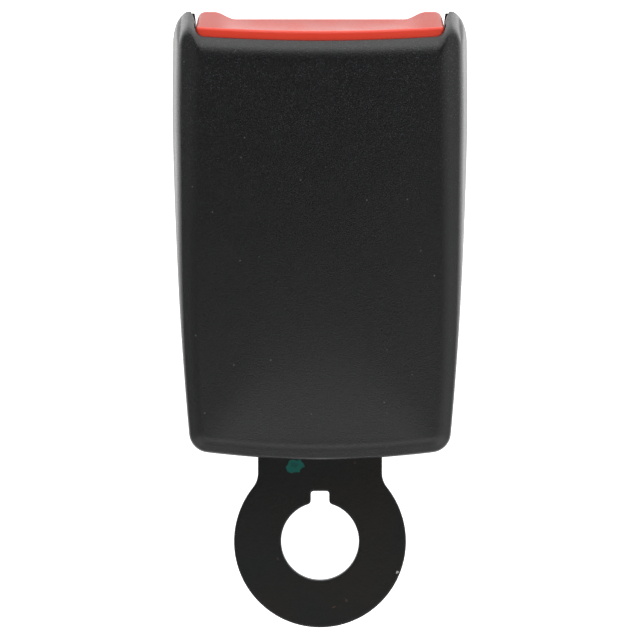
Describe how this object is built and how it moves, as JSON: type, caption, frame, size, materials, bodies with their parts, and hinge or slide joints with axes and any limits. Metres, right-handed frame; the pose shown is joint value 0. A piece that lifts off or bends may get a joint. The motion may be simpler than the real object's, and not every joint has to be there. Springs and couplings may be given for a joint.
{
  "type": "seat belt buckle adapter",
  "caption": "Push-button seat belt buckle in a tapered plastic housing, riveted to a short flat steel anchor plate with a ring end and a keyed bolt hole.",
  "frame": {"origin": "on the plane of the back cover's flat face, under the middle of the whole part's box", "axes": "+X across the buckle, +Y along it towards the push button and the tongue slot, +Z out of the front face"},
  "size_m": [0.0604, 0.1256, 0.027],
  "materials": {
    "cover_black": "fine-grained matte black moulded plastic",
    "button_red": "satin red moulded plastic",
    "inner_black": "smooth black moulded plastic",
    "ejector_white": "natural white moulded plastic",
    "plate_black": "black coated steel, semi-matte",
    "frame_steel": "zinc-plated pressed steel",
    "pin_steel": "plain turned steel",
    "spring_steel": "drawn spring wire",
    "screw_black": "blackened steel"
  },
  "bodies": {
    "housing": {"front_cover": "cover_black", "back_cover": "cover_black", "tongue_guide": "inner_black", "anchor_plate": "plate_black", "anchor_rivet_left": "pin_steel", "anchor_rivet_right": "pin_steel", "base_frame": "frame_steel", "spring_bridge": "frame_steel", "latch_pivot_pin": "pin_steel", "ejector_spring_seat": "inner_black", "button_spring_left": "spring_steel", "button_spring_right": "spring_steel", "ejector_spring": "spring_steel", "latch_spring": "spring_steel", "cover_screw_1": "screw_black", "cover_screw_2": "screw_black", "cover_screw_3": "screw_black", "cover_screw_4": "screw_black"},
    "button": {"press_button": "button_red", "release_slider": "inner_black"},
    "latch": {"latch_plate": "frame_steel", "cam_follower_pin": "pin_steel"},
    "ejector": {"ejector": "ejector_white"}
  },
  "joints": [
    {"name": "button_press", "type": "slide", "parent": "housing", "child": "button", "axis": [0, -1, 0], "range_m": [0, 0.006], "stiffness_N_per_m": 1200, "springref_m": -0.004, "deforming": ["button_spring_left", "button_spring_right"]},
    {"name": "latch_swing", "type": "hinge", "parent": "housing", "child": "latch", "pos_m": [0, 0.00675, 0.0161], "axis": [1, 0, 0], "range_deg": [0, 11], "stiffness_Nm_per_rad": 0.2, "springref_deg": -8.59, "deforming": ["latch_spring"]},
    {"name": "ejector_slide", "type": "slide", "parent": "housing", "child": "ejector", "axis": [0, -1, 0], "range_m": [0, 0.012], "stiffness_N_per_m": 400, "springref_m": -0.006, "deforming": ["ejector_spring"]}
  ],
  "couplings": [
    {"joint": "latch_swing", "follows": "button_press", "rad_per_m": 31.99}
  ]
}
